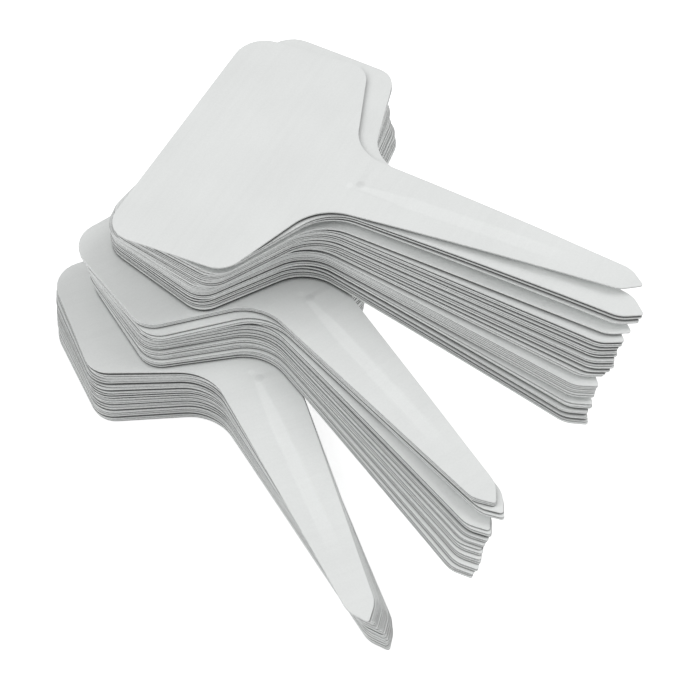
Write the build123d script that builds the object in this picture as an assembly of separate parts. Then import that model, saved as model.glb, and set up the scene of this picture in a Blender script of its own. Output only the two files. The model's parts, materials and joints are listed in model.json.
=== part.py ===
from build123d import *
import math
import os

# Label outline: a broad head, sloping shoulders and a tapering stem with a point
head_width = 60
label_length = 100
head_side_length = 27.3
shoulder_drop = 8.4
stem_root_width = 15.9
stem_tip_width = 5.5
point_length = 3.7
head_corner_radius = 6
shoulder_radius = 5
root_radius = 10
stem_tip_radius = 1.5
point_radius = 0.5

# Sheet that the labels are cut from
sheet_thickness = 0.33

# Stiffening rib, pressed up along the stem, so that its underside is a matching groove
rib_below_root = 6
rib_length = 38
rib_crest_width = 1.4
rib_flank_width = 1.2
rib_height = 0.16
rib_run_out = 4
rib_seat = 0.1

# A label is placed by a grip point on the centreline of its head
grip_below_top = 30

# How far a cutting profile runs past the label
overrun = 5

# Air between neighbours in a packet, and between one stack and the next
label_gap = 0.04
stack_gap = 0.3

# Height of each stack at the near and far corners of its head and at its tips
lower_near_height = 17.6
lower_far_height = 17.6
lower_tip_height = 17.6
middle_near_height = 10.4
middle_far_height = 10.4
middle_tip_height = 10.4
upper_near_height = 14.8
upper_far_height = 13.1
upper_tip_height = 19.6

# Air under the loose label on top of the pile, at the same three places
loose_near_gap = 0.25
loose_far_gap = 0.25
loose_tip_gap = 2.1

# Grip point of each stack's lowest label, seen from above
lower_x = 0
lower_y = 0
middle_x = 10.35
middle_y = 2.05
upper_x = 15.1
upper_y = 15.9
loose_x = 15.1
loose_y = 16.5

# How far the grip point wanders from a stack's lowest label to its uppermost
lower_wander_x = 0.65
lower_wander_y = -2.65
middle_wander_x = -1.95
middle_wander_y = 5.15
upper_wander_x = 3.4
upper_wander_y = -0.7

# Turn of each stack's lowest label and how far the stack fans out from it, in degrees
lower_turn = 25.2
middle_turn = 30.3
upper_turn = 48.7
loose_turn = 62.9
lower_fan = -3.8
middle_fan = 6.4
upper_fan = 11.2

# How far the labels slip along their stems, and how far the hanging tips of stems sag
stem_slip = 3
stem_sag = 2.5

# Share of the way to the next packet over which the labels of a packet are spread
spread_share = 0.5

# Labels that share one node, where they lie too close together to be told apart
labels_per_node = 2

# Packets from the bottom up: number of labels, then the shares of the stack's fan that the
# packet has reached, of the slip, of the sag, and of the stack's spare height that lies below it
lower_shares = [
    (3, 0.00, 0.22, 0, 0.00),
    (3, 0.01, 0.14, 0, 0.06),
    (3, 0.03, 0.24, 0, 0.08),
    (4, 0.08, 0.17, 0, 0.09),
    (5, 0.18, 0.14, 0, 0.10),
    (3, 0.33, 0.02, 0, 0.12),
    (2, 0.45, 0.06, 0, 0.07),
    (3, 0.50, -0.04, 0, 0.08),
    (2, 0.60, 0.00, 0, 0.07),
    (2, 0.65, -0.10, 0, 0.08),
    (4, 0.72, -0.02, 0, 0.10),
    (3, 0.85, 0.03, 0, 0.09),
    (2, 1.00, 0.00, 0, 0.06),
]
middle_shares = [
    (3, 0.000, -0.15, 0.50, 0.000),
    (2, 0.145, 0.14, 0.52, 0.085),
    (3, 0.240, 0.09, 0.54, 0.085),
    (2, 0.360, 0.00, 0.56, 0.085),
    (1, 0.380, -0.20, 0.58, 0.085),
    (2, 0.455, -0.05, 0.60, 0.085),
    (2, 0.540, 0.05, 0.62, 0.085),
    (3, 0.640, 0.20, 0.64, 0.085),
    (1, 0.645, -0.05, 0.66, 0.085),
]
middle_loose_shares = [
    (2, 0.955, 0.70, 0.05, 0.140),
    (1, 0.990, 0.50, 0.00, 0.070),
    (3, 0.950, -0.20, 0.00, 0.110),
]
upper_shares = [
    (3, 0.000, 0.10, 0.60, 0.00),
    (2, 0.005, -0.02, 0.55, 0.05),
    (2, 0.020, -0.12, 0.50, 0.05),
    (3, 0.065, -0.05, 0.45, 0.06),
    (7, 0.140, -0.30, 0.30, 0.09),
    (2, 0.335, -0.50, 0.20, 0.10),
    (1, 0.395, -0.30, 0.20, 0.05),
    (2, 0.435, -0.28, 0.15, 0.05),
    (2, 0.450, -0.38, 0.15, 0.05),
    (1, 0.510, -0.43, 0.15, 0.05),
    (2, 0.515, -0.45, 0.10, 0.04),
    (1, 0.535, -0.44, 0.10, 0.05),
    (2, 0.560, -0.38, 0.10, 0.05),
    (1, 0.585, -0.36, 0.10, 0.05),
]
upper_loose_shares = [
    (1, 0.710, -0.38, 0.10, 0.09),
    (1, 0.815, -0.25, 0.00, 0.07),
    (1, 0.860, -0.22, 0.00, 0.06),
    (1, 0.875, -0.22, 0.00, 0.04),
]


def corner(face, x, y):
    return face.vertices().sort_by_distance((x, y))[0]


def shoulder_foot():
    return label_length - head_side_length - shoulder_drop


def label_outline():
    side_foot = label_length - head_side_length
    right = [
        (head_width / 2, label_length, head_corner_radius),
        (head_width / 2, side_foot, shoulder_radius),
        (stem_root_width / 2, shoulder_foot(), root_radius),
        (stem_tip_width / 2, point_length, stem_tip_radius),
    ]
    points = [(x, y) for x, y, radius in right]
    mirrored = [(-x, y) for x, y in reversed(points)]
    face = make_face(Polyline(points + [(0, 0)] + mirrored, close=True))
    for x, y, radius in right:
        face = fillet([corner(face, x, y), corner(face, -x, y)], radius)
    return fillet(corner(face, 0, 0), point_radius)


def stem_height(y, sag):
    # Height of the sheet at y: level over the head, then an arc that drops by sag to the tip
    run = shoulder_foot() - y
    if sag == 0 or run <= 0:
        return 0
    radius = (shoulder_foot() ** 2 + sag**2) / (2 * sag)
    return math.sqrt(radius**2 - run**2) - radius


def sheet_profile(sag):
    # Side view of the bent sheet, drawn out wider than the outline
    bend = shoulder_foot()
    stations = (-overrun, bend / 2, bend, label_length + overrun)
    foot, middle, root, end = [(y, stem_height(y, sag)) for y in stations]
    if sag == 0:
        under = [Line(foot, end)]
    else:
        under = [ThreePointArc(foot, middle, root), Line(root, end)]
    rise = Vector(0, sheet_thickness, 0)
    over = [edge.moved(Location(rise)) for edge in under]
    sides = [Line(point, point + rise) for point in (under[0] @ 0, under[-1] @ 1)]
    across = Plane(origin=(-head_width, 0, 0), x_dir=(0, 1, 0), z_dir=(1, 0, 0))
    return extrude(across * make_face(under + over + sides), amount=2 * head_width)


def rib_section(y, sag, rise, crest):
    # Slice of the rib at y, seated in the sheet, with flanks that keep one slope
    foot = crest + 2 * rib_flank_width * (rise + rib_seat) / rib_height
    base = stem_height(y, sag) + sheet_thickness
    points = [(-foot / 2, -rib_seat), (-crest / 2, rise), (crest / 2, rise), (foot / 2, -rib_seat)]
    plane = Plane(origin=(0, y, base), x_dir=(1, 0, 0), z_dir=(0, -1, 0))
    return plane * make_face(Polyline(points, close=True))


def stem_rib(sag):
    top = shoulder_foot() - rib_below_root
    foot = top - rib_length
    inner_top = top - rib_run_out
    inner_foot = foot + rib_run_out
    middle = (inner_top + inner_foot) / 2
    low = -rib_seat / 2
    sections = [rib_section(top, sag, low, rib_crest_width / 2)]
    sections += [rib_section(y, sag, rib_height, rib_crest_width) for y in (inner_top, middle, inner_foot)]
    sections += [rib_section(foot, sag, low, rib_crest_width / 2)]
    return loft(sections, ruled=True)


def label(sag):
    # One label with its grip point at the origin and its underside at height zero there
    blank = extrude(label_outline(), amount=label_length, both=True)
    sheet = blank & sheet_profile(sag)
    rib = stem_rib(sag)
    groove = rib.moved(Location((0, 0, -sheet_thickness)))
    pressed = sheet + rib - groove
    return pressed.solids()[0].moved(Location((0, grip_below_top - label_length, 0)))


class Stack:
    # A fanned stack: where its lowest label lies and how far its uppermost is from that

    def __init__(self, grip, wander, turn, fan, heights, packets):
        self.grip = grip
        self.wander = wander
        self.turn = turn
        self.fan = fan
        self.packets = packets
        count = sum(packet[0] for packet in packets)
        air = (count - len(packets)) * label_gap
        self.spare = [height - count * sheet_thickness - air for height in heights]

    def place(self, share, slip, feet):
        # Location of a label whose underside is at the heights feet: near corner, far corner, tip
        turn = math.radians(self.turn + share * self.fan)
        near, far, tip = feet
        along = (near + far) / 2 - tip
        x_dir = Vector(math.cos(turn), math.sin(turn), (far - near) / head_width)
        y_dir = Vector(-math.sin(turn), math.cos(turn), along / label_length)
        x = self.grip[0] + share * self.wander[0] + slip * math.sin(turn)
        y = self.grip[1] + share * self.wander[1] - slip * math.cos(turn)
        z = (near + far) / 2 - along * grip_below_top / label_length
        return Location(Plane(origin=(x, y, z), x_dir=x_dir, z_dir=x_dir.cross(y_dir)))

    def labels(self, feet):
        # Sag and location of every label, and the three heights that the next one starts from
        placed = []
        ahead = [packet[1:3] for packet in self.packets[1:]] + [(1, self.packets[-1][2])]
        for packet, (next_share, next_slip) in zip(self.packets, ahead):
            count, share, slip, sag, below = packet
            feet = [foot + below * spare for foot, spare in zip(feet, self.spare)]
            for index in range(count):
                step = spread_share * index / count
                reached = share + step * (next_share - share)
                slipped = stem_slip * (slip + step * (next_slip - slip))
                placed.append((sag * stem_sag, self.place(reached, slipped, feet)))
                rise = sheet_thickness + (label_gap if index < count - 1 else 0)
                feet = [foot + rise for foot in feet]
        return placed, feet


def pile():
    # Labels of every body, from the table up
    lower = Stack(
        (lower_x, lower_y),
        (lower_wander_x, lower_wander_y),
        lower_turn,
        lower_fan,
        (lower_near_height, lower_far_height, lower_tip_height),
        lower_shares,
    )
    middle = Stack(
        (middle_x, middle_y),
        (middle_wander_x, middle_wander_y),
        middle_turn,
        middle_fan,
        (middle_near_height, middle_far_height, middle_tip_height),
        middle_shares + middle_loose_shares,
    )
    upper = Stack(
        (upper_x, upper_y),
        (upper_wander_x, upper_wander_y),
        upper_turn,
        upper_fan,
        (upper_near_height, upper_far_height, upper_tip_height),
        upper_shares + upper_loose_shares,
    )
    lower_labels, feet = lower.labels([0, 0, 0])
    middle_labels, feet = middle.labels([foot + stack_gap for foot in feet])
    upper_labels, feet = upper.labels([foot + stack_gap for foot in feet])
    gaps = (loose_near_gap, loose_far_gap, loose_tip_gap)
    loose = Stack((loose_x, loose_y), (0, 0), loose_turn, 0, (0, 0, 0), [])
    top = loose.place(0, 0, [foot + gap for foot, gap in zip(feet, gaps)])
    middle_bound = sum(packet[0] for packet in middle_shares)
    upper_bound = sum(packet[0] for packet in upper_shares)
    return [
        ("lower_stack", labels_per_node, lower_labels),
        ("middle_stack", labels_per_node, middle_labels[:middle_bound]),
        ("middle_packet", 1, middle_labels[middle_bound:]),
        ("upper_stack", labels_per_node, upper_labels[:upper_bound]),
        ("upper_packet", 1, upper_labels[upper_bound:]),
        ("top", 1, [(0, top)]),
    ]


def node_name(group, first, last, total):
    if total == 1:
        return f"{group}_label"
    if first == last:
        return f"{group}_label_{first:02d}"
    return f"{group}_labels_{first:02d}_{last:02d}"


def build():
    patterns = {}
    nodes = {}
    for group, per_node, labels in pile():
        for start in range(0, len(labels), per_node):
            members = labels[start : start + per_node]
            solids = []
            for sag, location in members:
                if sag not in patterns:
                    patterns[sag] = label(sag)
                solids.append(patterns[sag].moved(location))
            name = node_name(group, start + 1, start + len(members), len(labels))
            nodes[name] = solids
    return nodes


nodes = build()
boxes = [solid.bounding_box() for solids in nodes.values() for solid in solids]
low = [min(tuple(box.min)[axis] for box in boxes) for axis in range(3)]
high = [max(tuple(box.max)[axis] for box in boxes) for axis in range(3)]
to_centre = Location((-(low[0] + high[0]) / 2, -(low[1] + high[1]) / 2, -low[2]))
os.makedirs("parts", exist_ok=True)
for name, solids in nodes.items():
    export_step(Compound([solid.moved(to_centre) for solid in solids]), f"parts/{name}.step")
print(len(nodes), "nodes,", sum(len(solids) for solids in nodes.values()), "labels")
print("pile", [round(end - start, 2) for start, end in zip(low, high)], "mm")
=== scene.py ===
import json
import math

import bmesh
import bpy
import numpy as np
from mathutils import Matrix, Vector


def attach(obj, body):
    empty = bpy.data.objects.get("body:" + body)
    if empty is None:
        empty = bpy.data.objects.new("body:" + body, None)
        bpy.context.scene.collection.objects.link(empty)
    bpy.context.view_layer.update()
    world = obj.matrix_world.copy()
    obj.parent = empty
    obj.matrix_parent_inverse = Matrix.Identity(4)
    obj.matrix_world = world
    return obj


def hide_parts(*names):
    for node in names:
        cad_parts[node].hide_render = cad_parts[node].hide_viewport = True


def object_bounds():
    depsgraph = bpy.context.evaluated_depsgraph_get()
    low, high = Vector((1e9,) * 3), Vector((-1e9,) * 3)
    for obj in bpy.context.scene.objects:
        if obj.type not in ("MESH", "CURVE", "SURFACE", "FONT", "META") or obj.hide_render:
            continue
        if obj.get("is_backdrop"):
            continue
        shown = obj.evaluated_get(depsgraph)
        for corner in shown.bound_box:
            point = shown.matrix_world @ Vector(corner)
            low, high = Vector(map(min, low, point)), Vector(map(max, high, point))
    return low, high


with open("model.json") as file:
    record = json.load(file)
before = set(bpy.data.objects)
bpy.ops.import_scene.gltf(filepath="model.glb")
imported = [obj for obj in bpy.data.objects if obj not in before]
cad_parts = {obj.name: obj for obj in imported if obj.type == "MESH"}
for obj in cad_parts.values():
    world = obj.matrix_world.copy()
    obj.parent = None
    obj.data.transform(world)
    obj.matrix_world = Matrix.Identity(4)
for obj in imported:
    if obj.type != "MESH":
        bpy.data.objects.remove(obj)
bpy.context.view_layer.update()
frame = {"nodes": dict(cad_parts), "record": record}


# The photograph was taken from above with a long lens, straight along +Y. The camera looks at the table
# under the middle of the picture, and its picture is as wide as it is high.
camera_elevation = math.radians(53.51)
camera_distance = 0.5199
camera_aim = Vector((0.003035, 0.013015, 0))
camera_lens = 129.05
camera_clip_factor = 100

camera_data = bpy.data.cameras.new("photo_camera")
camera_data.lens = camera_lens
camera_data.clip_start = camera_distance / camera_clip_factor
camera_data.clip_end = camera_distance * camera_clip_factor
camera = bpy.data.objects.new("photo_camera", camera_data)
camera_back = Vector((0, -math.cos(camera_elevation), math.sin(camera_elevation)))
camera.location = camera_aim + camera_back * camera_distance
camera.rotation_mode = "QUATERNION"
camera.rotation_quaternion = (-camera_back).to_track_quat("-Z", "Y")
bpy.context.scene.collection.objects.link(camera)
bpy.context.scene.camera = camera


# Every label is cut from the same white plastic sheet by one die: a broad head with rounded corners,
# sloping shoulders and a tapering stem with a pointed tip. A rib is pressed up along the stem to stiffen it.
mm = 0.001
head_width = 60 * mm
label_length = 100 * mm
head_side_length = 27.3 * mm
shoulder_drop = 8.4 * mm
stem_root_width = 15.9 * mm
stem_tip_width = 5.5 * mm
point_length = 3.7 * mm
head_corner_radius = 6 * mm
shoulder_radius = 5 * mm
root_radius = 10 * mm
stem_tip_radius = 5.5 * mm
point_radius = 0.5 * mm
sheet_thickness = 0.33 * mm
cut_edge_radius = 0.1 * mm
head_foot = label_length - head_side_length
stem_length = head_foot - shoulder_drop

# The mesh's rib ends at rib_seat_top, clear of the close rows at the stem's root. The material carries its
# finer relief on, up to rib_top.
rib_top = stem_length - 4 * mm
rib_foot = stem_length - 52 * mm
rib_top_run = 1.6 * mm
rib_seat_top = stem_length - 7 * mm
rib_seat_run = 4 * mm
rib_foot_run = 14 * mm
rib_ridge_x = 1.0 * mm
rib_valley_x = -1.4 * mm
rib_fall = 8 * mm
rib_dish = 4.5 * mm
rib_valley_share = 0.25
rib_height = 0.2 * mm
rib_shade_height = 0.25 * mm
dimple_run = 1.6 * mm
dimple_share = 0.6
dimple_width_share = 0.7
# The rib's painted highlight lies in a band along the rib. It is full width far from the rib's top and
# narrow at the top.
rib_highlight_half_width = 0.95 * mm
rib_highlight_edge = 0.7 * mm
rib_highlight_start = 0.1 * mm
rib_highlight_run = 12 * mm

# The mesh's own steps.
label_columns = 17
inner_columns_share = 0.7
rib_core_share = 1.15
stem_core_share = 0.5
label_row_step = 6 * mm
corner_step = 1.1 * mm
same_place = 0.001 * mm


def add_node(tree, kind, sockets=(), **settings):
    """A new node of a tree. sockets gives inputs, by name or number, a value or another node's output."""
    node = tree.nodes.new(kind)
    for name, value in settings.items():
        setattr(node, name, value)
    for key, value in dict(sockets).items():
        if isinstance(value, bpy.types.NodeSocket):
            tree.links.new(value, node.inputs[key])
        else:
            node.inputs[key].default_value = value
    return node


def new_shape_tree(name, inputs):
    """A Geometry Nodes tree with its named inputs, and the node that gives them."""
    tree = bpy.data.node_groups.new(name, "GeometryNodeTree")
    tree.interface.new_socket("Geometry", in_out="OUTPUT", socket_type="NodeSocketGeometry")
    tree.interface.new_socket("Geometry", in_out="INPUT", socket_type="NodeSocketGeometry")
    for label, kind in inputs.items():
        tree.interface.new_socket(label, in_out="INPUT", socket_type="NodeSocket" + kind)
    return tree, tree.nodes.new("NodeGroupInput").outputs


def plain_mesh(source):
    """The mesh that an object's modifiers give. The object itself is removed."""
    evaluated = source.evaluated_get(bpy.context.evaluated_depsgraph_get())
    mesh = bpy.data.meshes.new_from_object(evaluated)
    bpy.data.objects.remove(source)
    return mesh


def mesh_from_tree(name, source, tree, values):
    """The plain mesh that a Geometry Nodes tree, set to these values, makes of a source object."""
    bpy.context.scene.collection.objects.link(source)
    modifier = source.modifiers.new(name, "NODES")
    modifier.node_group = tree
    for socket in tree.interface.items_tree:
        if socket.in_out == "INPUT" and socket.name in values:
            modifier[socket.identifier] = values[socket.name]
    mesh = plain_mesh(source)
    mesh.name = name
    return mesh


def label_tree():
    """Lays a grid of rows across the half outline, and presses the rib up along its middle."""
    tree, given = new_shape_tree("die_cut_label", {
        "Corner Step": "Float", "Row Step": "Float", "Columns": "Int", "Inner Columns": "Float",
        "Ridge X": "Float", "Valley X": "Float", "Fall": "Float", "Dish": "Float", "Valley Share": "Float",
        "Rib Height": "Float", "Rib Top": "Float", "Rib Top Run": "Float", "Rib Foot": "Float",
        "Rib Foot Run": "Float", "Material": "Material",
    })
    # A wider corner gets more points, two at least, and a long straight run gets a row at each row step.
    radius = add_node(tree, "GeometryNodeInputRadius").outputs[0]
    steps = add_node(tree, "ShaderNodeMath", {0: radius, 1: given["Corner Step"]}, operation="DIVIDE")
    steps = add_node(tree, "ShaderNodeMath", {0: steps.outputs[0], 1: 2}, operation="ADD")
    outline = add_node(tree, "GeometryNodeFilletCurve", {
        "Curve": given["Geometry"], "Count": steps.outputs[0], "Radius": radius, "Limit Radius": False,
    }, mode="POLY")
    here = add_node(tree, "GeometryNodeSplineParameter").outputs["Length"]
    index = add_node(tree, "GeometryNodeInputIndex").outputs[0]
    following = add_node(tree, "ShaderNodeMath", {0: index, 1: 1}, operation="ADD").outputs[0]
    ahead = add_node(tree, "GeometryNodeFieldAtIndex", {"Value": here, "Index": following}).outputs[0]
    run = add_node(tree, "ShaderNodeMath", {0: ahead, 1: here}, operation="SUBTRACT").outputs[0]
    cuts = add_node(tree, "ShaderNodeMath", {0: run, 1: given["Row Step"]}, operation="DIVIDE").outputs[0]
    cuts = add_node(tree, "ShaderNodeMath", {0: cuts, 1: 0}, operation="MAXIMUM").outputs[0]
    outline = add_node(tree, "GeometryNodeSubdivideCurve", {0: outline.outputs[0], "Cuts": cuts}).outputs[0]
    # The grid has a row for each of these points. It runs from -1 to 1 across and from -0.5 to 0.5 along.
    rows = add_node(tree, "GeometryNodeAttributeDomainSize", {0: outline}, component="CURVE").outputs[0]
    grid = add_node(tree, "GeometryNodeMeshGrid", {
        "Size X": 2, "Size Y": 1, "Vertices X": given["Columns"], "Vertices Y": rows,
    }).outputs[0]

    position = add_node(tree, "GeometryNodeInputPosition").outputs[0]
    place = add_node(tree, "ShaderNodeSeparateXYZ", {0: position}).outputs
    last_row = add_node(tree, "ShaderNodeMath", {0: rows, 1: 1}, operation="SUBTRACT").outputs[0]
    share = add_node(tree, "ShaderNodeMath", {0: place["Y"], 1: 0.5}, operation="ADD").outputs[0]
    row = add_node(tree, "ShaderNodeMath", {0: share, 1: last_row}, operation="MULTIPLY").outputs[0]
    row = add_node(tree, "ShaderNodeMath", {0: row}, operation="ROUND").outputs[0]
    edge = add_node(tree, "GeometryNodeSampleIndex", {
        "Geometry": outline, "Value": position, "Index": row,
    }, data_type="FLOAT_VECTOR").outputs[0]
    edge = add_node(tree, "ShaderNodeSeparateXYZ", {0: edge}).outputs

    # The inner columns stay near the rib, or within the middle of the stem where that is narrower.
    rib_side = add_node(tree, "ShaderNodeMath", {
        0: given["Valley X"], 1: -rib_core_share,
    }, operation="MULTIPLY")
    narrow = add_node(tree, "ShaderNodeMath", {0: edge["X"], 1: stem_core_share}, operation="MULTIPLY")
    core = add_node(tree, "ShaderNodeMath", {0: rib_side.outputs[0], 1: narrow.outputs[0]},
                    operation="MINIMUM").outputs[0]
    wing = add_node(tree, "ShaderNodeMath", {0: edge["X"], 1: core}, operation="SUBTRACT").outputs[0]
    across = add_node(tree, "ShaderNodeMath", {0: place["X"]}, operation="ABSOLUTE").outputs[0]
    inner = add_node(tree, "ShaderNodeMapRange", {0: across, 1: 0, 2: given["Inner Columns"], 3: 0, 4: core})
    outer = add_node(tree, "ShaderNodeMapRange", {0: across, 1: given["Inner Columns"], 2: 1, 3: 0, 4: wing})
    reach = add_node(tree, "ShaderNodeMath", {0: inner.outputs[0], 1: outer.outputs[0]}, operation="ADD")
    reach = reach.outputs[0]
    side = add_node(tree, "ShaderNodeMath", {0: place["X"]}, operation="SIGN").outputs[0]
    x = add_node(tree, "ShaderNodeMath", {0: reach, 1: side}, operation="MULTIPLY").outputs[0]

    # Across the rib the sheet dips into the valley, climbs to the ridge and falls off beyond it.
    depth = add_node(tree, "ShaderNodeMath", {0: given["Valley Share"], 1: -1},
                     operation="MULTIPLY").outputs[0]
    dish_start = add_node(tree, "ShaderNodeMath", {
        0: given["Valley X"], 1: given["Dish"],
    }, operation="SUBTRACT")
    dished = add_node(tree, "ShaderNodeMapRange", {
        0: x, 1: dish_start.outputs[0], 2: given["Valley X"], 3: 0, 4: depth,
    }, interpolation_type="SMOOTHSTEP").outputs[0]
    climbed = add_node(tree, "ShaderNodeMapRange", {
        0: x, 1: given["Valley X"], 2: given["Ridge X"], 3: dished, 4: 1,
    }).outputs[0]
    fall_end = add_node(tree, "ShaderNodeMath", {0: given["Ridge X"], 1: given["Fall"]}, operation="ADD")
    rise = add_node(tree, "ShaderNodeMapRange", {
        0: x, 1: given["Ridge X"], 2: fall_end.outputs[0], 3: climbed, 4: 0,
    }, interpolation_type="SMOOTHERSTEP").outputs[0]
    # Along the stem the rib starts in a short run below its top, and fades out in a long one above its foot.
    from_top = add_node(tree, "ShaderNodeMath", {0: edge["Y"], 1: given["Rib Top"]}, operation="SUBTRACT")
    from_top = from_top.outputs[0]
    crest_end = add_node(tree, "ShaderNodeMath", {0: given["Rib Top Run"], 1: -1}, operation="MULTIPLY")
    along = add_node(tree, "ShaderNodeMapRange", {0: from_top, 1: crest_end.outputs[0], 2: 0, 3: 1, 4: 0},
                     interpolation_type="SMOOTHSTEP").outputs[0]
    from_foot = add_node(tree, "ShaderNodeMath", {0: edge["Y"], 1: given["Rib Foot"]}, operation="SUBTRACT")
    along = add_node(tree, "ShaderNodeMapRange", {
        0: from_foot.outputs[0], 1: 0, 2: given["Rib Foot Run"], 3: 0, 4: along,
    }, interpolation_type="SMOOTHSTEP").outputs[0]
    rise = add_node(tree, "ShaderNodeMath", {0: rise, 1: along}, operation="MULTIPLY").outputs[0]
    rise = add_node(tree, "ShaderNodeMath", {0: rise, 1: given["Rib Height"]},
                    operation="MULTIPLY").outputs[0]
    laid = add_node(tree, "ShaderNodeCombineXYZ", {0: x, 1: edge["Y"], 2: rise}).outputs[0]
    sheet = add_node(tree, "GeometryNodeSetPosition", {"Geometry": grid, "Position": laid}).outputs[0]
    sheet = add_node(tree, "GeometryNodeMergeByDistance", {
        "Geometry": sheet, "Distance": same_place,
    }).outputs[0]
    sheet = add_node(tree, "GeometryNodeSetMaterial", {0: sheet, "Material": given["Material"]}).outputs[0]
    add_node(tree, "NodeGroupOutput", {0: sheet})
    return tree


def half_outline():
    """The label's outline from the point up to the head. Each point of the curve knows its corner radius."""
    # The sharp point would end at y = 0. Its rounding touches both of its sides and ends at point_y.
    slant = math.atan2(stem_tip_width / 2, point_length)
    point_y = point_radius / math.sin(slant) - point_radius
    corners = [
        (0, point_y, 0),
        (point_y * math.tan(slant), point_y, point_radius),
        (stem_tip_width / 2, point_length, stem_tip_radius),
        (stem_root_width / 2, stem_length, root_radius),
        (head_width / 2, head_foot, shoulder_radius),
        (head_width / 2, label_length, head_corner_radius),
        (head_width / 2 - head_corner_radius, label_length, 0),
    ]
    # The rib's ends need rows of their own, which start from points on the stem's straight side.
    for y in (rib_foot, rib_foot + rib_foot_run / 2, rib_foot + rib_foot_run, rib_seat_top - rib_seat_run,
              rib_seat_top - rib_seat_run / 2, rib_seat_top):
        share = (y - point_length) / (stem_length - point_length)
        corners.append((stem_tip_width / 2 + share * (stem_root_width - stem_tip_width) / 2, y, 0))
    corners.sort(key=lambda corner: corner[1])
    curve = bpy.data.curves.new("half_outline", "CURVE")
    curve.dimensions = "3D"
    spline = curve.splines.new("POLY")
    spline.points.add(len(corners) - 1)
    for point, (x, y, radius) in zip(spline.points, corners):
        point.co = (x, y, 0, 1)
        point.radius = radius
    return bpy.data.objects.new("half_outline", curve)


def linear(hex_colour):
    """An sRGB colour such as #e4e6e5 as linear red, green, blue and alpha."""
    shares = [int(hex_colour[i : i + 2], 16) / 255 for i in (1, 3, 5)]
    return [s / 12.92 if s <= 0.04045 else ((s + 0.055) / 1.055) ** 2.4 for s in shares] + [1]


face_colour = "#e8eae9"
sheared_edge_colour = "#f1f3f2"
torn_edge_colour = "#dfe1e0"
speck_colour = "#a9a7a1"
cutting_shift = (1.3, 2.1, 0)
sheet_ior = 1.49
face_roughness = (0.42, 0.55)
edge_roughness = 0.75
cloud_width = 15 * mm
cloud_shades = (0.975, 1.015)
mill_line_length = 50 * mm
mill_line_spacing = 1.1 * mm
mill_line_shades = (0.99, 1.01)
grain_size = 0.4 * mm
grain_height = 0.006 * mm
grain_shades = (0.985, 1.015)
wave_width = 22 * mm
wave_height = 0.12 * mm
label_shades = (0.97, 1.01)
label_edge_shades = (0.86, 1.06)
speck_spacing = 9 * mm
speck_share = 0.25
speck_core_share = 0.008
speck_rim_share = 0.022
speck_strength = 0.5
score_width = 0.5 * mm
score_length = 3 * mm
score_height = 0.03 * mm
score_shades = (0.88, 1.08)
torn_from_share = 0.35
torn_to_share = 0.65
rib_highlight_shades = (0.985, 1.05)
# Painted shade in the gaps between sheets: how far it looks for a neighbour, the open shares at which it is
# full and gone, and its darkest shade.
gap_reach = 0.9 * mm
gap_closed_share = 0.28
gap_open_share = 0.78
gap_shade = 0.02
noise_low = 0.3
noise_high = 0.7

# At the rib's top end the dimple's slopes catch and lose the light. This is a painted highlight on the
# head's side of the dimple
# # and a painted shade on the stem's side. Each row is a spot's place beyond the rib's top, its place
# across, its radius and its shade.
rib_end_painted_light = (
    (0.9 * mm, -0.5 * mm, 0.9 * mm, 1.04),
    (-1.0 * mm, 0.5 * mm, 1.2 * mm, 0.93),
)


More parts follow.
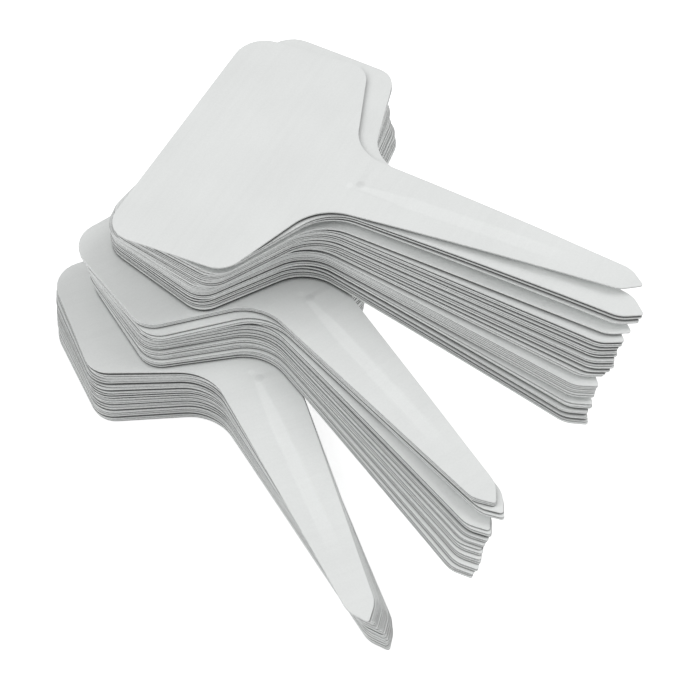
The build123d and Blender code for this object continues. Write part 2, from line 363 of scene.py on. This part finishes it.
def calendered_white_sheet():
    """Calendered white polypropylene: satin faces with mill lines and a fine grain, and duller cut edges.

    The rollers leave the lines and the grain, and the die leaves the edges rough.
    """
    material = bpy.data.materials.new("calendered_white_polypropylene")
    material.use_nodes = True
    tree = material.node_tree
    shader = tree.nodes["Principled BSDF"]
    place = add_node(tree, "ShaderNodeAttribute", attribute_name="flat_place").outputs["Vector"]
    tone = add_node(tree, "ShaderNodeAttribute", attribute_name="sheet_tone").outputs["Fac"]
    on_edge = add_node(tree, "ShaderNodeAttribute", attribute_name="cut_edge").outputs["Fac"]

    # Each label was cut from another place of the sheet, so no two show the same marks.
    shift = add_node(tree, "ShaderNodeVectorMath", {0: cutting_shift, "Scale": tone},
                     operation="SCALE").outputs[0]
    sheet = add_node(tree, "ShaderNodeVectorMath", {0: place, 1: shift}, operation="ADD").outputs[0]

    # Faint clouds, and fine mill lines that run across the label.
    cloud = add_node(tree, "ShaderNodeTexNoise", {
        "Vector": sheet, "Scale": 1 / cloud_width, "Detail": 3,
    }).outputs[0]
    drawn = add_node(tree, "ShaderNodeVectorMath", {
        0: sheet, 1: (1 / mill_line_length, 1 / mill_line_spacing, 0),
    }, operation="MULTIPLY").outputs[0]
    lines = add_node(tree, "ShaderNodeTexNoise", {"Vector": drawn, "Scale": 1, "Detail": 2}).outputs[0]
    # The real grain is finer than a pixel, which is 0.2 mm wide, so it is drawn coarser.
    grain = add_node(tree, "ShaderNodeTexNoise", {
        "Vector": sheet, "Scale": 1 / grain_size, "Detail": 2,
    }).outputs[0]

    # The press leaves a shallow valley on one side of the rib, a ridge on the other, and a dimple at the end
    # that is nearest to the head.
    flat = add_node(tree, "ShaderNodeSeparateXYZ", {0: place}).outputs
    dished = add_node(tree, "ShaderNodeMapRange", {
        0: flat["X"], 1: rib_valley_x - rib_dish, 2: rib_valley_x, 3: 0, 4: -rib_valley_share,
    }, interpolation_type="SMOOTHSTEP").outputs[0]
    climbed = add_node(tree, "ShaderNodeMapRange", {
        0: flat["X"], 1: rib_valley_x, 2: rib_ridge_x, 3: dished, 4: 1,
    }).outputs[0]
    press = add_node(tree, "ShaderNodeMapRange", {
        0: flat["X"], 1: rib_ridge_x, 2: rib_ridge_x + rib_fall, 3: climbed, 4: 0,
    }).outputs[0]
    along = add_node(tree, "ShaderNodeMapRange", {
        0: flat["Y"], 1: rib_foot, 2: rib_foot + rib_foot_run, 3: 0, 4: 1,
    }, interpolation_type="SMOOTHSTEP").outputs[0]
    along = add_node(tree, "ShaderNodeMapRange", {
        0: flat["Y"], 1: rib_top - rib_top_run, 2: rib_top, 3: along, 4: 0,
    }, interpolation_type="SMOOTHSTEP").outputs[0]
    risen = add_node(tree, "ShaderNodeMath", {0: press, 1: along}, operation="MULTIPLY").outputs[0]
    beside = add_node(tree, "ShaderNodeMath", {0: flat["X"], 1: (rib_ridge_x + rib_valley_x) / 2},
                      operation="SUBTRACT").outputs[0]
    beside = add_node(tree, "ShaderNodeMath", {0: beside}, operation="ABSOLUTE").outputs[0]
    dimple = add_node(tree, "ShaderNodeMapRange", {
        0: beside, 1: 0, 2: (rib_ridge_x - rib_valley_x) * dimple_width_share, 3: dimple_share, 4: 0,
    }, interpolation_type="SMOOTHSTEP").outputs[0]
    beyond = add_node(tree, "ShaderNodeMath", {0: flat["Y"], 1: rib_top}, operation="SUBTRACT").outputs[0]
    beyond = add_node(tree, "ShaderNodeMath", {0: beyond}, operation="ABSOLUTE").outputs[0]
    dimple = add_node(tree, "ShaderNodeMapRange", {0: beyond, 1: 0, 2: dimple_run, 3: dimple, 4: 0},
                      interpolation_type="SMOOTHSTEP").outputs[0]
    press = add_node(tree, "ShaderNodeMath", {0: risen, 1: dimple}, operation="SUBTRACT").outputs[0]
    # Painted highlight: a band along the rib is lighter than the rest of the sheet, because the rib's crest
    # catches
    #     # more light. The band starts narrow at the rib's top.
    half_width = add_node(tree, "ShaderNodeMapRange", {
        0: flat["Y"], 1: rib_top - rib_highlight_run, 2: rib_top,
        3: rib_highlight_half_width, 4: rib_highlight_start,
    }).outputs[0]
    outer = add_node(tree, "ShaderNodeMath", {0: half_width, 1: rib_highlight_edge},
                     operation="ADD").outputs[0]
    rib_highlight = add_node(tree, "ShaderNodeMapRange", {0: beside, 1: half_width, 2: outer, 3: along, 4: 0},
                        interpolation_type="SMOOTHSTEP").outputs[0]
    rib_painted_light = add_node(tree, "ShaderNodeMapRange", {
        0: rib_highlight, 1: 0, 2: 1, 3: rib_highlight_shades[0], 4: rib_highlight_shades[1],
    }).outputs[0]
    # The painted highlight and painted shade at the rib's top end. Each is full within half its radius and
    # fades out at its radius.
    for up, across, radius, facet_painted_shade in rib_end_painted_light:
        spot = (across, rib_top + up, sheet_thickness)
        away = add_node(tree, "ShaderNodeVectorMath", {0: place, 1: spot},
                        operation="DISTANCE").outputs["Value"]
        painted_facet = add_node(tree, "ShaderNodeMapRange", {
            0: away, 1: radius / 2, 2: radius, 3: facet_painted_shade, 4: 1,
        }, interpolation_type="SMOOTHSTEP").outputs[0]
        rib_painted_light = add_node(tree, "ShaderNodeMath", {0: rib_painted_light, 1: painted_facet}, operation="MULTIPLY").outputs[0]

    toned = add_node(tree, "ShaderNodeMapRange", {
        0: tone, 1: 0, 2: 1, 3: label_shades[0], 4: label_shades[1],
    }).outputs[0]
    shade = add_node(tree, "ShaderNodeMath", {0: toned, 1: rib_painted_light}, operation="MULTIPLY").outputs[0]
    for pattern, shades in ((cloud, cloud_shades), (lines, mill_line_shades), (grain, grain_shades)):
        drawn_shade = add_node(tree, "ShaderNodeMapRange", {
            0: pattern, 1: noise_low, 2: noise_high, 3: shades[0], 4: shades[1],
        }).outputs[0]
        shade = add_node(tree, "ShaderNodeMath", {0: shade, 1: drawn_shade}, operation="MULTIPLY").outputs[0]
    face = add_node(tree, "ShaderNodeVectorMath", {0: linear(face_colour)[:3], "Scale": shade},
                    operation="SCALE")

    # Dark specks in the plastic, up to 0.4 mm wide. About one face in three shows one.
    specks = add_node(tree, "ShaderNodeTexVoronoi", {"Vector": sheet, "Scale": 1 / speck_spacing})
    few = add_node(tree, "ShaderNodeSeparateColor", {0: specks.outputs["Color"]}).outputs[0]
    few = add_node(tree, "ShaderNodeMath", {0: few, 1: speck_share}, operation="LESS_THAN").outputs[0]
    speck = add_node(tree, "ShaderNodeMapRange", {
        0: specks.outputs["Distance"], 1: speck_core_share, 2: speck_rim_share, 3: speck_strength, 4: 0,
    })
    speck = add_node(tree, "ShaderNodeMath", {0: speck.outputs[0], 1: few}, operation="MULTIPLY").outputs[0]
    face = add_node(tree, "ShaderNodeMix", {0: speck, 6: face.outputs[0], 7: linear(speck_colour)},
                    data_type="RGBA").outputs[2]

    # The die shears the upper part of the edge smooth and tears the rest, with fine upright scores in both.
    torn = add_node(tree, "ShaderNodeMapRange", {
        0: flat["Z"], 1: torn_from_share * sheet_thickness, 2: torn_to_share * sheet_thickness, 3: 1, 4: 0,
    }).outputs[0]
    upright = add_node(tree, "ShaderNodeVectorMath", {
        0: sheet, 1: (1 / score_width, 1 / score_width, 1 / score_length),
    }, operation="MULTIPLY").outputs[0]
    scores = add_node(tree, "ShaderNodeTexNoise", {"Vector": upright, "Scale": 1, "Detail": 3}).outputs[0]
    scored = add_node(tree, "ShaderNodeMapRange", {
        0: scores, 1: noise_low, 2: noise_high, 3: score_shades[0], 4: score_shades[1],
    }).outputs[0]
    cut = add_node(tree, "ShaderNodeMix", {
        0: torn, 6: linear(sheared_edge_colour), 7: linear(torn_edge_colour),
    }, data_type="RGBA").outputs[2]
    edge_toned = add_node(tree, "ShaderNodeMapRange", {
        0: tone, 1: 0, 2: 1, 3: label_edge_shades[0], 4: label_edge_shades[1],
    }).outputs[0]
    scored = add_node(tree, "ShaderNodeMath", {0: scored, 1: edge_toned}, operation="MULTIPLY").outputs[0]
    cut = add_node(tree, "ShaderNodeVectorMath", {0: cut, "Scale": scored}, operation="SCALE").outputs[0]
    colour = add_node(tree, "ShaderNodeMix", {0: on_edge, 6: face, 7: cut}, data_type="RGBA").outputs[2]
    # Painted shade: the colour darkens towards a close neighbour, standing in for the light that enters the
    # gap between
    #     # two sheets and is lost there.
    open_share = add_node(tree, "ShaderNodeAmbientOcclusion", {"Distance": gap_reach},
                          samples=8).outputs["AO"]
    lit = add_node(tree, "ShaderNodeMapRange", {
        0: open_share, 1: gap_closed_share, 2: gap_open_share, 3: gap_shade, 4: 1,
    }).outputs[0]
    colour = add_node(tree, "ShaderNodeVectorMath", {0: colour, "Scale": lit}, operation="SCALE").outputs[0]
    tree.links.new(colour, shader.inputs["Base Color"])

    satin = add_node(tree, "ShaderNodeMapRange", {
        0: lines, 1: noise_low, 2: noise_high, 3: face_roughness[0], 4: face_roughness[1],
    }).outputs[0]
    rough = add_node(tree, "ShaderNodeMix", {0: on_edge, 2: satin, 3: edge_roughness}).outputs[0]
    tree.links.new(rough, shader.inputs["Roughness"])
    shader.inputs["IOR"].default_value = sheet_ior

    # The relief is the rib, the sheet's slow waves, its grain, and the scores on the cut edges.
    waves = add_node(tree, "ShaderNodeTexNoise", {
        "Vector": sheet, "Scale": 1 / wave_width, "Detail": 1,
    }).outputs[0]
    ribbed = add_node(tree, "ShaderNodeBump", {"Height": press, "Distance": rib_shade_height, "Strength": 1})
    waved = add_node(tree, "ShaderNodeBump", {
        "Height": waves, "Distance": wave_height, "Strength": 1, "Normal": ribbed.outputs[0],
    }).outputs[0]
    grainy = add_node(tree, "ShaderNodeBump", {
        "Height": grain, "Distance": grain_height, "Strength": 1, "Normal": waved,
    }).outputs[0]
    scratched = add_node(tree, "ShaderNodeMath", {0: scores, 1: on_edge}, operation="MULTIPLY").outputs[0]
    finished = add_node(tree, "ShaderNodeBump", {
        "Height": scratched, "Distance": score_height, "Strength": 1, "Normal": grainy,
    }).outputs[0]
    tree.links.new(finished, shader.inputs["Normal"])
    return material


# Edges that turn by more than cut_edge_angle are rounded, and the shading breaks at crease_angle. A facet
# whose normal rises by less than cut_edge_rise belongs to the cut edge.
cut_edge_angle = math.radians(40)
crease_angle = math.radians(15)
cut_edge_rise = 0.6

white_sheet = calendered_white_sheet()
flat_mesh = mesh_from_tree("label_face", half_outline(), label_tree(), {
    "Corner Step": corner_step, "Row Step": label_row_step, "Columns": label_columns,
    "Inner Columns": inner_columns_share, "Ridge X": rib_ridge_x, "Valley X": rib_valley_x,
    "Fall": rib_fall, "Dish": rib_dish, "Valley Share": rib_valley_share, "Rib Height": rib_height,
    "Rib Top": rib_seat_top, "Rib Top Run": rib_seat_run, "Rib Foot": rib_foot,
    "Rib Foot Run": rib_foot_run, "Material": white_sheet,
})
face = bpy.data.objects.new("label_face", flat_mesh)
bpy.context.scene.collection.objects.link(face)
thicken = face.modifiers.new("sheet", "SOLIDIFY")
thicken.thickness = sheet_thickness
thicken.offset = 1
soften = face.modifiers.new("cut_edge", "BEVEL")
soften.width = cut_edge_radius
soften.segments = 2
soften.limit_method = "ANGLE"
soften.angle_limit = cut_edge_angle
blank_mesh = plain_mesh(face)
blank_mesh.shade_smooth()
blank_mesh.set_sharp_from_angle(angle=crease_angle)
flat_places = blank_mesh.attributes.new("flat_place", "FLOAT_VECTOR", "POINT")
flat_places.data.foreach_set("vector", np.array([v.co for v in blank_mesh.vertices], np.float32).ravel())
cut_edges = blank_mesh.attributes.new("cut_edge", "FLOAT", "FACE")
on_cut_edge = [abs(facet.normal.z) < cut_edge_rise for facet in blank_mesh.polygons]
cut_edges.data.foreach_set("value", np.array(on_cut_edge, np.float32))
blank = bpy.data.objects.new("label_blank", blank_mesh)


# The labels are piled in three fanned stacks, and nothing holds them but their weight. Each one lies where
# the CAD model's label lies. In the stacks it has a small scatter too, because loose labels never line up.
stack_slide = 0.14 * mm
stack_twist = math.radians(0.1)
packet_turn = math.radians(-0.8)
head_from_middle = 5 * mm
face_rise = 0.9
least_sag = 0.1 * mm


def triangles_of(mesh):
    """The corners of each of a mesh's triangles."""
    mesh.calc_loop_triangles()
    corners = np.array([v.co for v in mesh.vertices], float)
    return corners[[t.vertices[:] for t in mesh.loop_triangles]]


def lie(triangles):
    """Where a label lies, worked out from its triangles.

    Its directions are facing, across the label; along, from the point to the head; and up, out of the head's
    upper face. underside is the height of the head's underside along up, and sag is how far the rest of the
    label reaches below it.
    """
    cross = np.cross(triangles[:, 1] - triangles[:, 0], triangles[:, 2] - triangles[:, 0])
    areas = np.linalg.norm(cross, axis=1) / 2
    centres = triangles.mean(axis=1)
    middle = areas @ centres / areas.sum()
    arms = triangles - middle
    sums = arms.sum(axis=1)
    inertia = np.einsum("t,tci,tcj->ij", areas, arms, arms) + np.einsum("t,ti,tj->ij", areas, sums, sums)
    along = np.linalg.eigh(inertia)[1][:, 2]
    along *= np.sign(along[1])
    on_head = (centres - middle) @ along > head_from_middle
    faces_up = on_head & (cross[:, 2] > face_rise * 2 * areas)
    up = cross[faces_up].sum(axis=0)
    up /= np.linalg.norm(up)
    faces_down = on_head & (cross[:, 2] < -face_rise * 2 * areas)
    underside = (areas[faces_down] @ centres[faces_down] / areas[faces_down].sum()) @ up
    facing = np.cross(along, up)
    facing /= np.linalg.norm(facing)
    along = np.cross(up, facing)
    sag = underside - (triangles.reshape(-1, 3) @ up).min()
    return {"middle": middle, "facing": facing, "along": along, "up": up, "underside": underside, "sag": sag}


def labels_of(node):
    """The triangles of each of a CAD node's labels, which are separate solids."""
    merged = bmesh.new()
    merged.from_mesh(frame["nodes"][node].data)
    bmesh.ops.remove_doubles(merged, verts=merged.verts, dist=same_place)
    unseen = set(merged.verts)
    labels = []
    while unseen:
        found = [unseen.pop()]
        for vertex in found:
            for edge in vertex.link_edges:
                other = edge.other_vert(vertex)
                if other in unseen:
                    unseen.remove(other)
                    found.append(other)
        faces = {face for vertex in found for face in vertex.link_faces}
        labels.append(np.array([[v.co for v in face.verts] for face in faces], float))
    merged.free()
    return labels


def pile_tree():
    """Lays a label at each point, scatters it along its sheet, lets its stem sag, and bows it."""
    tree, given = new_shape_tree("pile_of_labels", {
        "Label": "Object", "Slide Scatter": "Float", "Twist Scatter": "Float", "Seed": "Int",
        "Stem Length": "Float", "Label Length": "Float", "Material": "Material",
    })
    up = add_node(tree, "GeometryNodeInputNamedAttribute", {"Name": "up"},
                  data_type="FLOAT_VECTOR").outputs[0]
    facing = add_node(tree, "GeometryNodeInputNamedAttribute", {"Name": "facing"},
                      data_type="FLOAT_VECTOR").outputs[0]
    rotation = add_node(tree, "FunctionNodeAxesToRotation", {0: up, 1: facing},
                        primary_axis="Z", secondary_axis="X").outputs[0]
    slide = add_node(tree, "ShaderNodeCombineXYZ", {0: given["Slide Scatter"], 1: given["Slide Scatter"]})
    back = add_node(tree, "ShaderNodeVectorMath", {0: slide.outputs[0], "Scale": -1}, operation="SCALE")
    slid = add_node(tree, "FunctionNodeRandomValue", {
        "Min": back.outputs[0], "Max": slide.outputs[0], "Seed": given["Seed"],
    }, data_type="FLOAT_VECTOR").outputs[0]
    slid = add_node(tree, "FunctionNodeRotateVector", {0: slid, 1: rotation}).outputs[0]
    points = add_node(tree, "GeometryNodeSetPosition", {0: given["Geometry"], "Offset": slid}).outputs[0]
    unturned = add_node(tree, "ShaderNodeMath", {0: given["Twist Scatter"], 1: -1}, operation="MULTIPLY")
    reseeded = add_node(tree, "ShaderNodeMath", {0: given["Seed"], 1: 1}, operation="ADD").outputs[0]
    twist = add_node(tree, "FunctionNodeRandomValue", {
        2: unturned.outputs[0], 3: given["Twist Scatter"], "Seed": reseeded,
    }).outputs[1]
    twist = add_node(tree, "FunctionNodeAxisAngleToRotation", {"Axis": (0, 0, 1), "Angle": twist}).outputs[0]
    rotation = add_node(tree, "FunctionNodeRotateRotation", {0: rotation, 1: twist},
                        rotation_space="LOCAL").outputs[0]
    label = add_node(tree, "GeometryNodeObjectInfo", {"Object": given["Label"]}).outputs["Geometry"]
    reseeded = add_node(tree, "ShaderNodeMath", {0: given["Seed"], 1: 2}, operation="ADD").outputs[0]
    tone = add_node(tree, "FunctionNodeRandomValue", {2: 0, 3: 1, "Seed": reseeded}).outputs[1]
    points = add_node(tree, "GeometryNodeStoreNamedAttribute", {
        "Geometry": points, "Name": "sheet_tone", "Value": tone,
    }, domain="POINT", data_type="FLOAT").outputs[0]
    pile = add_node(tree, "GeometryNodeInstanceOnPoints", {
        "Points": points, "Instance": label, "Rotation": rotation,
    }).outputs[0]
    pile = add_node(tree, "GeometryNodeRealizeInstances", {0: pile}).outputs[0]

    flat = add_node(tree, "GeometryNodeInputNamedAttribute", {"Name": "flat_place"},
                    data_type="FLOAT_VECTOR").outputs[0]
    flat_y = add_node(tree, "ShaderNodeSeparateXYZ", {0: flat}).outputs["Y"]
    sag = add_node(tree, "GeometryNodeInputNamedAttribute", {"Name": "sag"}).outputs[0]
    down = add_node(tree, "ShaderNodeMapRange", {0: flat_y, 1: given["Stem Length"], 2: 0, 3: 0, 4: 1})
    lift = add_node(tree, "ShaderNodeMath", {0: down.outputs[0], 1: 2}, operation="POWER").outputs[0]
    lift = add_node(tree, "ShaderNodeMath", {0: lift, 1: sag}, operation="MULTIPLY").outputs[0]
    lift = add_node(tree, "ShaderNodeMath", {0: lift, 1: -1}, operation="MULTIPLY").outputs[0]
    # A bow is a parabola through three lifts. share is 0 at the point and 1 at the head.
    bow = add_node(tree, "GeometryNodeInputNamedAttribute", {"Name": "bow"},
                   data_type="FLOAT_VECTOR").outputs[0]
    bow = add_node(tree, "ShaderNodeSeparateXYZ", {0: bow}).outputs
    share = add_node(tree, "ShaderNodeMath", {0: flat_y, 1: given["Label Length"]},
                     operation="DIVIDE").outputs[0]
    rest = add_node(tree, "ShaderNodeMath", {0: 1, 1: share}, operation="SUBTRACT").outputs[0]
    skew = add_node(tree, "ShaderNodeMath", {0: rest, 1: share}, operation="SUBTRACT").outputs[0]
    for weight, factor, end in ((rest, skew, bow["X"]), (share, rest, bow["Y"]), (share, skew, bow["Z"])):
        term = add_node(tree, "ShaderNodeMath", {0: weight, 1: factor}, operation="MULTIPLY").outputs[0]
        term = add_node(tree, "ShaderNodeMath", {0: term, 1: end}, operation="MULTIPLY").outputs[0]
        lift = add_node(tree, "ShaderNodeMath", {0: lift, 1: term}, operation="ADD").outputs[0]
    lifted = add_node(tree, "ShaderNodeVectorMath", {0: up, "Scale": lift}, operation="SCALE").outputs[0]
    pile = add_node(tree, "GeometryNodeSetPosition", {0: pile, "Offset": lifted}).outputs[0]
    pile = add_node(tree, "GeometryNodeSetMaterial", {0: pile, "Material": given["Material"]}).outputs[0]
    add_node(tree, "NodeGroupOutput", {0: pile})
    return tree


blank_middle = lie(triangles_of(blank_mesh))["middle"][1]
pile_shape = pile_tree()


def pile_of(body, seed, slide_scatter=0.0, twist_scatter=0.0, bows=(), turn=0.0):
    """The labels of one body, as one mesh that stands for its CAD nodes.

    A bow is a label's lift at its point, its middle and its head, for the labels from the bottom up. turn is
    the angle by which the bowed labels are turned about their points.
    """
    nodes = frame["record"]["behaviour"]["bodies"][body]
    lies = [lie(triangles) for node in nodes for triangles in labels_of(node)]
    lies.sort(key=lambda found: found["underside"])
    bows = list(bows) + [(0, 0, 0)] * (len(lies) - len(bows))
    starts = []
    for found, bow in zip(lies, bows):
        facing, along, up = found["facing"], found["along"], found["up"]
        start = found["middle"] - along * blank_middle
        starts.append(start + up * (found["underside"] - start @ up))
        if any(bow):
            found["facing"] = facing * math.cos(turn) + along * math.sin(turn)
    points = bpy.data.meshes.new(body)
    points.from_pydata([tuple(start) for start in starts], [], [])
    for name in ("facing", "up"):
        attribute = points.attributes.new(name, "FLOAT_VECTOR", "POINT")
        attribute.data.foreach_set("vector", np.array([found[name] for found in lies], np.float32).ravel())
    attribute = points.attributes.new("sag", "FLOAT", "POINT")
    sags = [found["sag"] if found["sag"] > least_sag else 0 for found in lies]
    attribute.data.foreach_set("value", np.array(sags, np.float32))
    # The parabola through the three lifts counts the middle one four times and the head's with a minus sign.
    attribute = points.attributes.new("bow", "FLOAT_VECTOR", "POINT")
    lifts = np.array([(tip, 4 * waist, -head) for tip, waist, head in bows], np.float32)
    attribute.data.foreach_set("vector", lifts.ravel())
    mesh = mesh_from_tree(body + "_labels", bpy.data.objects.new(body, points), pile_shape, {
        "Label": blank, "Slide Scatter": slide_scatter, "Twist Scatter": twist_scatter, "Seed": seed,
        "Stem Length": stem_length, "Label Length": label_length, "Material": white_sheet,
    })
    piece = bpy.data.objects.new(body + "_labels", mesh)
    bpy.context.scene.collection.objects.link(piece)
    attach(piece, body)
    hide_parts(*nodes)


pile_of("lower_stack", 1, stack_slide, stack_twist)
pile_of("middle_stack", 2, stack_slide, stack_twist)
pile_of("middle_packet", 3)
pile_of("upper_stack", 4, stack_slide, stack_twist)
pile_of("upper_packet", 5, turn=packet_turn, bows=[
    (0, 0, 0), (0.7 * mm, 1.5 * mm, 0), (0.75 * mm, 1.65 * mm, 0.05 * mm), (0.8 * mm, 1.75 * mm, 0.1 * mm),
])
pile_of("top_label", 6, bows=[(0, 1.1 * mm, -0.1 * mm)])


# Stage: a white table that shows white to the camera and keeps the pile's shadow, under soft studio light.
floor_colour = "#f2f2f2"
light_colour = "#ffffff"
floor_glow = 0.6
world_light = 0.5


def seen_share(tree):
    """1 for rays that look at the stage, straight, by reflection or through glass, and 0 for all others."""
    rays = add_node(tree, "ShaderNodeLightPath").outputs
    seen = add_node(tree, "ShaderNodeMath", {
        0: rays["Is Camera Ray"], 1: rays["Is Glossy Ray"],
    }, operation="ADD")
    return add_node(tree, "ShaderNodeMath", {0: seen.outputs[0], 1: rays["Is Transmission Ray"]},
                    operation="ADD", use_clamp=True).outputs[0]


floor_mesh = bpy.data.meshes.new("floor")
floor_half = 3.0
floor_z = -0.05 * mm
floor_mesh.from_pydata([(-floor_half, -floor_half, floor_z), (floor_half, -floor_half, floor_z),
                        (floor_half, floor_half, floor_z), (-floor_half, floor_half, floor_z)],
                       [], [(0, 1, 2, 3)])
floor = bpy.data.objects.new("floor", floor_mesh)
bpy.context.scene.collection.objects.link(floor)
floor_paint = bpy.data.materials.new("white_floor")
floor_paint.use_nodes = True
tree = floor_paint.node_tree
tree.nodes.clear()
diffuse = add_node(tree, "ShaderNodeBsdfDiffuse", {"Color": linear(floor_colour)}).outputs[0]
white = add_node(tree, "ShaderNodeEmission", {
    "Color": linear(light_colour), "Strength": floor_glow,
}).outputs[0]
bright = add_node(tree, "ShaderNodeAddShader", {0: diffuse, 1: white}).outputs[0]
surface = add_node(tree, "ShaderNodeMixShader", {0: seen_share(tree), 1: diffuse, 2: bright}).outputs[0]
add_node(tree, "ShaderNodeOutputMaterial", {"Surface": surface})
floor_mesh.materials.append(floor_paint)
floor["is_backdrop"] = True

world = bpy.data.worlds.new("studio")
world.use_nodes = True
bpy.context.scene.world = world
tree = world.node_tree
tree.nodes.clear()
strength = add_node(tree, "ShaderNodeMapRange", {
    0: seen_share(tree), 1: 0, 2: 1, 3: world_light, 4: 1,
}).outputs[0]
light = add_node(tree, "ShaderNodeBackground", {
    "Color": linear(light_colour), "Strength": strength,
}).outputs[0]
add_node(tree, "ShaderNodeOutputWorld", {"Surface": light})


def softbox(name, aim, azimuth, elevation, distance, size, power):
    """A square studio light. Azimuth 0 is on the camera's side, and 90 is on the right."""
    turn = math.radians(azimuth)
    rise = math.radians(elevation)
    back = Vector((math.sin(turn) * math.cos(rise), -math.cos(turn) * math.cos(rise), math.sin(rise)))
    data = bpy.data.lights.new(name, "AREA")
    data.shape = "SQUARE"
    data.size = size
    data.energy = power
    lamp = bpy.data.objects.new(name, data)
    lamp.location = aim + back * distance
    lamp.rotation_mode = "QUATERNION"
    lamp.rotation_quaternion = (-back).to_track_quat("-Z", "Y")
    bpy.context.scene.collection.objects.link(lamp)


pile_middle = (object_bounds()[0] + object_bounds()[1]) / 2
softbox("left", pile_middle, azimuth=280, elevation=52, distance=1.0, size=0.7, power=3.0)
softbox("right", pile_middle, azimuth=108, elevation=50, distance=1.0, size=0.6, power=3.5)

bpy.context.scene.view_settings.view_transform = "Standard"
